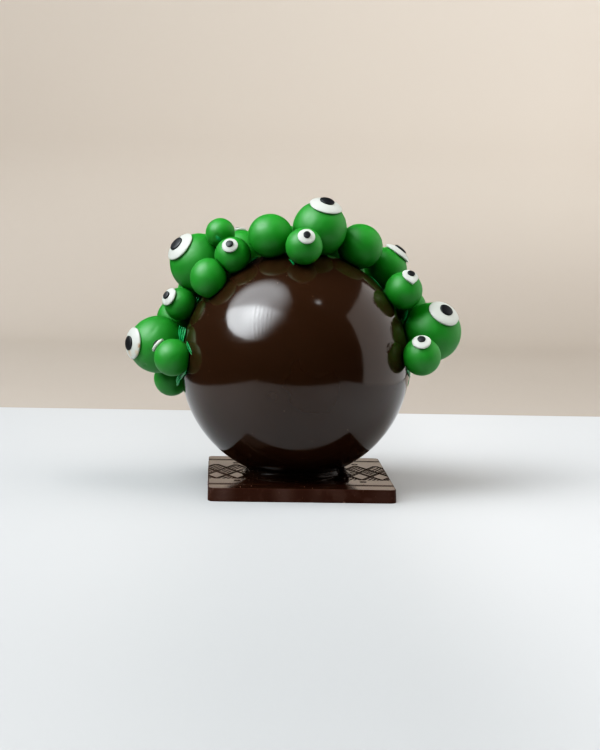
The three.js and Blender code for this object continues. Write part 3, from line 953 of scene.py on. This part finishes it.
def pressed_disc(middle, direction, inner, outer, radius, segments, seed, uneven, power, point=None):
    """A round-edged disc that follows a ball: its points and faces. Uneven is how far its outline
    strays from a circle, and a higher power makes its rim squarer. A point is drawn out of it."""
    level, up = side_axes(direction)
    turns = np.linspace(0, 2 * math.pi, segments, endpoint=False)
    draw = np.random.default_rng(seed)
    outline = np.ones(segments)
    for waves, strength in ((1, 0.5), (2, 1.0), (3, 0.7), (5, 0.25), (9, 0.1)):
        height = uneven * strength * math.sin(draw.uniform(1, 2))
        outline += height * np.cos(waves * turns + draw.uniform(0, 2 * math.pi))
    if point:
        apart = abs((turns - math.radians(point[0]) + math.pi) % (2 * math.pi) - math.pi)
        outline += 2 * point[1] * np.exp(-apart / 0.33)
    thick = outer - inner
    slope = draw.uniform(-1, 1, 2) * 0.07
    rows = []
    bends = np.linspace(0, math.pi, 33)[1:-1]
    for bend in bends:
        reach_share = math.sin(bend) ** (2 / power)
        rise = 0.5 + 0.5 * math.copysign(abs(math.cos(bend)) ** (2 / power), math.cos(bend))
        tilt = 1 + reach_share * (slope[0] * np.cos(turns) + slope[1] * np.sin(turns))
        far = inner + thick * rise * np.where(rise > 0.5, tilt, 1)
        away = np.arcsin(np.clip(radius / (inner + thick / 2), 0, 1)) * reach_share * outline
        around = np.outer(np.cos(turns), level) + np.outer(np.sin(turns), up)
        rows.append((np.cos(away)[:, None] * direction + np.sin(away)[:, None] * around) * far[:, None])
    points = np.concatenate([[direction * outer], *rows, [direction * inner]]) + middle
    faces = []
    for step in range(segments):
        after = (step + 1) % segments
        faces.append([0, 1 + step, 1 + after])
        for row in range(len(rows) - 1):
            a, b = 1 + row * segments, 1 + (row + 1) * segments
            faces.append([a + step, b + step, b + after, a + after])
        last = 1 + (len(rows) - 1) * segments
        faces.append([len(points) - 1, last + after, last + step])
    return points, faces


def eye_parts(bubble):
    """Direction, reach, underside and top of an eye's white and of its pupil, from their nodes."""
    number_name = bubble.name[-2:]
    found = []
    for node in (f"eye_white_{number_name}", f"pupil_{number_name}"):
        points = node_points(node)
        direction = unit(points.mean(0) - bubble.middle)
        away = points - bubble.middle
        far = np.linalg.norm(away, axis=1)
        reach = np.linalg.norm(away - np.outer(away @ direction, direction), axis=1).max()
        found.append((node, direction, reach, far.min(), far.max()))
    return found


def make_eye(settings, bubble, white, stained, black):
    (white_node, look, reach, inner, outer), (pupil_node, _, pupil_reach, _, pupil_top) = eye_parts(bubble)
    number_name = bubble.name[-2:]
    seed = int(number_name)
    disc = pressed_disc(
        bubble.middle, look, inner - settings.sink, outer, reach * settings.eye_share,
        settings.segments, seed, settings.uneven, 4.0, POINTED.get(number_name),
    )
    paste = stained if number_name == STAINED else white
    make_piece(f"eye_disc_{number_name}", *disc, paste, "white_paste", white_node)
    dot = pressed_disc(
        bubble.middle, look, outer - 0.5 * MM, pupil_top, pupil_reach,
        settings.segments, seed + 40, settings.uneven, 4.0,
    )
    make_piece(f"eye_dot_{number_name}", *dot, black, "black_paste", pupil_node)


def strand(draw, path, thick):
    """A run of drops along a path (a function of the share along it), thinner towards both ends."""
    first, last = draw.uniform(0, 0.12), draw.uniform(0.88, 1)
    length_along = np.linalg.norm(path(last) - path(first))
    steps = max(6, int(length_along / (0.22 * thick)))
    drops = []
    for step in range(steps + 1):
        share_along = step / steps
        size = thick / 2 * draw.uniform(0.85, 1.1) * (1 - 0.45 * abs(2 * share_along - 1) ** 3)
        drops.append(drop_at(path(first + (last - first) * share_along), size, 2))
    return drops


def side_by_side(draw, start, end, thick, strands, apart, bow, place_at):
    """Strands from a start to an end, apart and bowed aside by degrees. place_at gives a point."""
    start = np.array(start)
    sweep = np.array(end) - start
    square = np.zeros(len(sweep))
    square[:2] = np.array([-sweep[1], sweep[0]]) / math.hypot(sweep[0], sweep[1])
    drops = []
    for number_of in range(strands):
        offset = (number_of - (strands - 1) / 2) * apart
        bent = draw.uniform(-bow, bow) if bow else 0

        def path(share_along):
            aside = offset + bent * math.sin(share_along * math.pi)
            return place_at(*(start + sweep * share_along + square * aside))

        drops += strand(draw, path, thick * MM)
    return drops


def make_glue(settings, ball, bubbles):
    """Glue squeezed out between the balls: strands of small drops that run together."""
    draw = np.random.default_rng(31)
    packed = 0.7

    def over_ball(along, lean, up):
        return ball.middle + ball_direction(along, lean) * (ball.radius + up * MM)

    parts = []
    for start, end, thick, strands in GLUE:
        parts += side_by_side(draw, start, end, thick, strands, packed * thick, 0.6, over_ball)
    for name, start, end, thick, strands in SMEARS:
        bubble = numbered(bubbles, name)
        height = bubble.radius - 0.32 * thick * MM

        def over_bubble(turn, rise):
            return bubble.middle + look_direction(turn, rise) * height

        apart = math.degrees(packed * thick * MM / bubble.radius)
        parts += side_by_side(draw, start, end, thick, strands, apart, 0, over_bubble)
    return melted("glue_smears", parts, settings.voxel, 2, wet_glue(settings), "green_glue")


def chip(draw, size, flatness):
    """A small broken bit: a ball of few facets with its points pushed in and out."""
    points, faces = unit_ball(2)
    stretch = draw.uniform(0.6, 1.3, 3) * [1, 1, flatness]
    turn = draw.uniform(0, 2 * math.pi)
    spin = np.array([[math.cos(turn), -math.sin(turn), 0], [math.sin(turn), math.cos(turn), 0], [0, 0, 1]])
    return (points * draw.uniform(0.75, 1.15, (len(points), 1)) * stretch) @ spin * size / 2, faces


def make_specks(settings, ball):
    """Pale dust on the polished skin."""
    draw = np.random.default_rng(8)
    places = [ball_direction(*spot) for spot in SEEN_SPECKS]
    while len(places) < len(SEEN_SPECKS) + settings.specks:
        spot = unit(draw.normal(size=3))
        if spot[2] > -0.85:
            places.append(spot)
    parts = []
    for spot in places:
        points, faces = chip(draw, settings.speck * draw.uniform(0.5, 1.2), 0.5)
        level, up = side_axes(spot)
        turned = points @ np.array([level, up, spot])
        parts.append((turned + ball.middle + spot * (ball.radius + 0.02 * MM), faces))
    dust = dusty("pale_dust", (0.42, 0.34, 0.24), 0.6)
    return make_piece("dust_specks", *several(parts), dust, "chocolate_gloss")


def make_crumbs(settings):
    """Chocolate crumbs along the tablet's left side and front edge and on its top."""
    low, high = (np.array(corner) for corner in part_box("tablet"))
    draw = np.random.default_rng(14)
    parts = []
    for x, y in TOP_CRUMBS:
        points, faces = chip(draw, settings.crumb * 0.8, 0.7)
        parts.append((points + [x, y, high[2] + 0.15 * MM], faces))
    for x, size in FRONT_CHIPS:
        points, faces = chip(draw, size, 0.8)
        parts.append((points + [x, low[1] + 0.25 * MM, low[2] + 0.5 * MM], faces))
    for _ in range(settings.crumbs):
        points, faces = chip(draw, settings.crumb * draw.uniform(0.4, 1.1), 0.8)
        y = draw.uniform(low[1] + 4 * MM, high[1] - 4 * MM)
        x = low[0] + draw.uniform(0.0, 0.5) * MM
        z = low[2] + draw.uniform(0.5, 7.5) * MM
        parts.append((points + [x, y, z], faces))
    crumb = dusty("tablet_crumbs", (0.11, 0.052, 0.030), 0.5)
    return make_piece("tablet_crumbs", *several(parts), crumb, "chocolate_tablet")


def make_paste_crumb(bubbles):
    """The small yellow crumb stuck low on one green ball."""
    bubble = numbered(bubbles, "14")
    points, faces = chip(np.random.default_rng(3), 0.9 * MM, 0.6)
    points = points + bubble.middle + look_direction(52, -44) * bubble.radius
    material = dusty("yellow_crumb", (0.45, 0.40, 0.05), 0.5)
    return make_piece("yellow_crumb", points, faces, material, "green_paste")


# The studio

def stage_mesh(name, points, faces, material, seen=True, mirrored=True):
    """A piece of the studio: seen by the camera, and mirrored by glossy skins, or not."""
    mesh = bpy.data.meshes.new(name)
    mesh.from_pydata([tuple(point) for point in points], [], faces)
    mesh.polygons.foreach_set("use_smooth", [True] * len(mesh.polygons))
    mesh.materials.append(material)
    piece = bpy.data.objects.new(name, mesh)
    bpy.context.scene.collection.objects.link(piece)
    piece.visible_camera = seen
    piece.visible_glossy = mirrored
    return piece


def glowing(name, strength, tint=(1, 1, 1)):
    """A plain light surface."""
    material = bpy.data.materials.new(name)
    material.use_nodes = True
    tree = material.node_tree
    tree.nodes.clear()
    light = put(tree, "ShaderNodeEmission", {"Color": (*tint, 1), "Strength": strength})
    put(tree, "ShaderNodeOutputMaterial", {"Surface": light.outputs[0]})
    return material, tree, light


def lamp_glow(strength, tint, radius):
    """The small lamp's glow: brightest in its middle."""
    material, tree, light = glowing("lamp_glow", strength, tint)
    power = remap(tree, fade_out(tree, (0, 0, 0), radius), 0, 1, 0, strength, smooth=True)
    tree.links.new(power, light.inputs["Strength"])
    return material


def softbox_glow(strength, tint):
    """The softbox's cloth: a hot middle, a dimmer upper half, a dark right side and fine stripes."""
    material, tree, light = glowing("softbox_cloth", strength, tint)
    left, up, _ = axes_of(tree, put(tree, "ShaderNodeTexCoord").outputs["Object"])
    fold_slope, stripe_pitch = 0.29, 0.158
    across_left, across_up = 0.831, -0.557
    over_fold = maths(tree, "MULTIPLY_ADD", left, fold_slope, up)
    halves = remap(tree, over_fold, 0.10, 0.36, 2.08, 0.90, smooth=True)
    fade = remap(tree, left, -1.30, 0.20, 0.10, 1.0, smooth=True)
    hot = remap(tree, fade_out(tree, (0.15, -0.08, 0), 1.0), 0.25, 1.0, 1.0, 1.5, smooth=True)
    rim = remap(tree, fade_out(tree, (0.30, 0.10, 0), 1.75), 0.0, 0.48, 0.03, 1.0, smooth=True)
    across = maths(tree, "MULTIPLY_ADD", left, across_left, maths(tree, "MULTIPLY", up, across_up))
    wave = maths(tree, "SINE", maths(tree, "MULTIPLY", across, 2 * math.pi / stripe_pitch))
    band = remap(tree, across, -0.70, -0.45, 0, 1)
    for edge in (remap(tree, across, 0.30, 0.16, 0, 0.8), remap(tree, over_fold, 0.3, 0.1, 0, 1)):
        band = maths(tree, "MULTIPLY", band, edge)
    power = halves
    for factor in (fade, hot, rim, maths(tree, "MULTIPLY_ADD", wave, band, 1.0), strength):
        power = maths(tree, "MULTIPLY", power, factor)
    tree.links.new(power, light.inputs["Strength"])
    return material


def plain_surface(name, tint):
    """A plain surface to go on from: its material, node tree, axes and colour."""
    material, tree = shade(name)
    where = place(tree)
    base = mottled(tree, grain(tree, where, 0.35, detail=4), tint, 0.97, 1.03)
    return material, tree, axes_of(tree, where), base


def floor_surface(settings):
    """The pale floor, with painted light: lighter beside the part, where it lifts the part's shadow and the
    floor's reflection in the big ball, and painted shade a little darker at the front.
    """
    material, tree, axes, base = plain_surface("pale_floor", settings.floor)
    # Painted light and shade: the floor's colour is raised beside the part and lowered at the front.
    for axis, start, end, factor in (
        ("X", -0.03, -0.15, settings.floor_left),
        ("X", 0.02, 0.14, settings.floor_right),
        ("Y", -0.12, -0.45, settings.floor_front),
    ):
        painted_light_and_shade_mask = remap(tree, axes[axis], start, end, 0, 1, smooth=True)
        scaled = put(tree, "ShaderNodeVectorMath", {0: base, "Scale": factor}, operation="SCALE").outputs[0]
        base = blend_colours(tree, painted_light_and_shade_mask, base, scaled)
    return finish(material, base, 0.5, fixed=MATT)


def wall_surface(settings):
    """The warm wall, with painted shade in its colour: darker where it bends up, and to the left, where the
    softbox lights it most.
    """
    # Painted shade: the wall's colour is darkened low down and to the left to offset how the light falls on
    # it.
    material, tree, axes, base = plain_surface("warm_wall", times(settings.wall, 0.57))
    painted_shade_across = remap(tree, axes["X"], -0.5, 0.4, 0, 1)
    painted_shade_height = remap(tree, axes["Z"], 0.0, 0.3, 0, 1, smooth=True)
    upper = blend_colours(tree, painted_shade_across, times(settings.wall, 0.64), settings.wall)
    return finish(material, blend_colours(tree, painted_shade_height, base, upper), 0.9, fixed=MATT)


def aim(piece, place_at, right, up, back):
    """Places an object by its three axes."""
    turn = Matrix((right, up, back)).transposed().to_4x4()
    piece.matrix_world = Matrix.Translation(place_at) @ turn


def make_camera(settings, ball):
    """The camera at the photograph's viewing angle."""
    back = np.array([
        math.sin(settings.side) * math.cos(settings.rise),
        -math.cos(settings.side) * math.cos(settings.rise),
        math.sin(settings.rise),
    ])
    eye = ball.middle + back * settings.distance
    right = unit(np.cross(-back, [0, 0, 1]))
    up = np.cross(right, -back)
    ahead = unit(-back + math.tan(settings.pan) * right + math.tan(settings.tilt) * up)
    right = unit(np.cross(ahead, [0, 0, 1]))
    up = np.cross(right, ahead)
    turned_right = math.cos(settings.roll) * right + math.sin(settings.roll) * up
    turned_up = math.cos(settings.roll) * up - math.sin(settings.roll) * right
    data = bpy.data.cameras.new("camera")
    data.sensor_width = 36.0
    data.lens = settings.focal / max(PHOTO_WIDTH, PHOTO_HEIGHT) * data.sensor_width
    camera = bpy.data.objects.new("camera", data)
    bpy.context.scene.collection.objects.link(camera)
    aim(camera, eye, turned_right, turned_up, -ahead)
    bpy.context.scene.camera = camera


def light_sheet(name, outline, stand, target, material):
    """A flat light that faces the target. Its outline is given to its left and upwards."""
    turn, rise, away = stand
    look = look_direction(turn, rise)
    level, up = side_axes(-look)
    flat = [(left, high, 0.0) for left, high in outline]
    sheet = stage_mesh(name, flat, [list(range(len(flat)))], material, seen=False)
    aim(sheet, target + look * away, level, up, -look)
    return sheet


def make_lights(settings, ball):
    """A softbox, two soft fills that no skin mirrors, a small lamp and a white board on the right."""
    target = np.array(ball.middle)
    cloth = softbox_glow(settings.key, settings.key_tint)
    light_sheet("softbox", SOFTBOX_OUTLINE, SOFTBOX_STAND, target, cloth)
    corners = ((-1, -1), (1, -1), (1, 1), (-1, 1))
    square = [(FILL_HALF * side, FILL_HALF * row) for side, row in corners]
    fill = glowing("fill_cloth", settings.fill)[0]
    light_sheet("fill", square, FILL_STAND, target, fill).visible_glossy = False
    faint = glowing("front_cloth", settings.front)[0]
    light_sheet("front_fill", square, FRONT_STAND, target, faint).visible_glossy = False
    turns = np.linspace(0, 2 * math.pi, 24, endpoint=False)
    circle = [(LAMP_RADIUS * math.cos(turn), LAMP_RADIUS * math.sin(turn)) for turn in turns]
    bulb = lamp_glow(settings.lamp, settings.key_tint, LAMP_RADIUS)
    light_sheet("ceiling_lamp", circle, LAMP_STAND, target, bulb)
    board = glowing("white_board", settings.panel, (1.0, 0.985, 0.97))[0]
    near, far, low, top, aside = -0.45, 1.3, -0.16, 1.13, 1.0
    corners = [(aside, near, low), (aside, far, low), (aside, far, top), (aside, near, top)]
    stage_mesh("white_board", corners, [[0, 1, 2, 3]], board)


def make_room(settings):
    """Pale floor that bends up into a warm pale wall, and a dim room."""
    front, near, table_end, back, top, wide = -0.52, -0.355, 0.34, 1.15, 0.5, 2.2
    left, right, bend = -0.30, 0.35, 0.25
    floor_material = floor_surface(settings)
    wall_material = wall_surface(settings)

    def sheet(name, west, east, profile, material, mirrored):
        points = [(x, y, z) for x in (west, east) for y, z in profile]
        rows = len(profile)
        faces = [[row, row + rows, row + rows + 1, row + 1] for row in range(rows - 1)]
        return stage_mesh(name, points, faces, material, mirrored=mirrored)

    turns = [math.radians(90 * step / 16) for step in range(17)]
    curve = [(back - bend + bend * math.sin(turn), bend * (1 - math.cos(turn))) for turn in turns]
    far = [(table_end, 0.0), *curve, (back, top)]
    sheet("floor", left, right, [(near, 0.0), (table_end, 0.0)], floor_material, True)
    floor_left = sheet("floor_left", -wide, left, [(near, 0.0), (table_end, 0.0)], floor_material, False)
    floor_left.visible_diffuse = False
    sheet("floor_right", right, wide, [(near, 0.0), (table_end, 0.0)], floor_material, False)
    sheet("floor_front", -wide, wide, [(front, 0.0), (near, 0.0)], floor_material, False)
    sheet("wall", left, right, far, wall_material, True)
    sheet("wall_left", -wide, left, far, wall_material, False)
    sheet("wall_right", right, wide, far, wall_material, False)
    world = bpy.data.worlds.new("room")
    bpy.context.scene.world = world
    world.use_nodes = True
    tree = world.node_tree
    background = tree.nodes["Background"]
    rays = put(tree, "ShaderNodeLightPath").outputs
    mirrored, falling = (settings.room,) * 3, (settings.haze,) * 3
    lit = blend_colours(tree, rays["Is Diffuse Ray"], mirrored, falling)
    tree.links.new(blend_colours(tree, rays["Is Camera Ray"], lit, settings.wall), background.inputs["Color"])


def set_tones(view):
    """A camera's tones: deep shadows and gentle whites."""
    view.view_transform = "Standard"
    view.look = "None"
    view.use_curve_mapping = True
    points = view.curve_mapping.curves[3].points
    points[0].location, points[-1].location = TONES[0], TONES[-1]
    for come_in, shown in TONES[1:-1]:
        points.new(come_in, shown)
    view.curve_mapping.update()


def round_nodes():
    """The big ball and the green balls as read from the frame."""
    names = sorted(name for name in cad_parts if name.startswith("bubble"))
    return Round("ball"), [Round(name) for name in names]


big_ball, green_balls = round_nodes()


class MESH_OT_chocolate_tablet(bpy.types.Operator):
    """Make the moulded tablet and its crumbs"""

    bl_idname = "mesh.chocolate_tablet"
    bl_label = "Tablet"

    def execute(self, context):
        make_tablet(context.scene.chocolate_tablet)
        make_crumbs(context.scene.small_bits)
        return {"FINISHED"}


class MESH_OT_chocolate_ball(bpy.types.Operator):
    """Make the polished ball, the dust on it and its melted foot"""

    bl_idname = "mesh.chocolate_ball"
    bl_label = "Ball and foot"

    def execute(self, context):
        make_ball(context.scene.chocolate_ball, big_ball)
        make_foot(context.scene.chocolate_ball, big_ball)
        make_specks(context.scene.small_bits, big_ball)
        return {"FINISHED"}


class MESH_OT_paste_balls(bpy.types.Operator):
    """Make the green balls"""

    bl_idname = "mesh.paste_balls"
    bl_label = "Green balls"

    def execute(self, context):
        settings = context.scene.paste_garland
        material = green_paste(settings)
        for seed, bubble in enumerate(green_balls):
            make_bubble(settings, bubble, green_balls, big_ball, material, seed)
        make_paste_crumb(green_balls)
        return {"FINISHED"}


class MESH_OT_paste_eyes(bpy.types.Operator):
    """Make the whites and pupils"""

    bl_idname = "mesh.paste_eyes"
    bl_label = "Eyes"

    def execute(self, context):
        settings = context.scene.paste_garland
        bearer = numbered(green_balls, STAINED)
        white_top = eye_parts(bearer)[0][-1]
        spots = [
            (bearer.middle + look_direction(turn, rise) * white_top, width, tint)
            for turn, rise, width, tint in STAINS
        ]
        white, stained, black = white_paste(settings), white_paste(settings, spots), black_paste(settings)
        for bubble in green_balls:
            if f"eye_white_{bubble.name[-2:]}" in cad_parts:
                make_eye(settings, bubble, white, stained, black)
        return {"FINISHED"}


class MESH_OT_garland_glue(bpy.types.Operator):
    """Make the wet glue between the pieces"""

    bl_idname = "mesh.garland_glue"
    bl_label = "Glue"

    def execute(self, context):
        make_glue(context.scene.small_bits, big_ball, green_balls)
        return {"FINISHED"}


class SCENE_OT_chocolate_studio(bpy.types.Operator):
    """Make the camera, the lights, the floor and the wall"""

    bl_idname = "scene.chocolate_studio"
    bl_label = "Studio"

    def execute(self, context):
        settings = context.scene.studio
        make_camera(settings, big_ball)
        make_lights(settings, big_ball)
        make_room(settings)
        set_tones(context.scene.view_settings)
        return {"FINISHED"}


class VIEW3D_PT_chocolate_ball(bpy.types.Panel):
    """The pieces and their settings"""

    bl_label = "Chocolate ball"
    bl_space_type = "VIEW_3D"
    bl_region_type = "UI"
    bl_category = "Chocolate ball"

    def draw(self, context):
        for operator in OPERATORS:
            self.layout.operator(operator.bl_idname)
        for name, group in GROUPS.items():
            box = self.layout.box()
            box.label(text=group.__doc__)
            for field in group.__annotations__:
                box.prop(getattr(context.scene, name), field)


OPERATORS = (
    MESH_OT_chocolate_tablet,
    MESH_OT_chocolate_ball,
    MESH_OT_paste_balls,
    MESH_OT_paste_eyes,
    MESH_OT_garland_glue,
    SCENE_OT_chocolate_studio,
)


def register():
    for group in GROUPS.values():
        bpy.utils.register_class(group)
    for operator in OPERATORS:
        bpy.utils.register_class(operator)
    bpy.utils.register_class(VIEW3D_PT_chocolate_ball)
    for name, group in GROUPS.items():
        setattr(bpy.types.Scene, name, PointerProperty(type=group))


def unregister():
    for name in GROUPS:
        delattr(bpy.types.Scene, name)
    bpy.utils.unregister_class(VIEW3D_PT_chocolate_ball)
    for operator in reversed(OPERATORS):
        bpy.utils.unregister_class(operator)
    for group in reversed(GROUPS.values()):
        bpy.utils.unregister_class(group)


def write_sizes():
    """Brings the view layer up to date."""
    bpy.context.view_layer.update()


def main():
    register()
    bpy.ops.scene.chocolate_studio()
    bpy.ops.mesh.chocolate_tablet()
    bpy.ops.mesh.chocolate_ball()
    bpy.ops.mesh.paste_balls()
    bpy.ops.mesh.paste_eyes()
    bpy.ops.mesh.garland_glue()
    write_sizes()


if __name__ == "__main__":
    main()
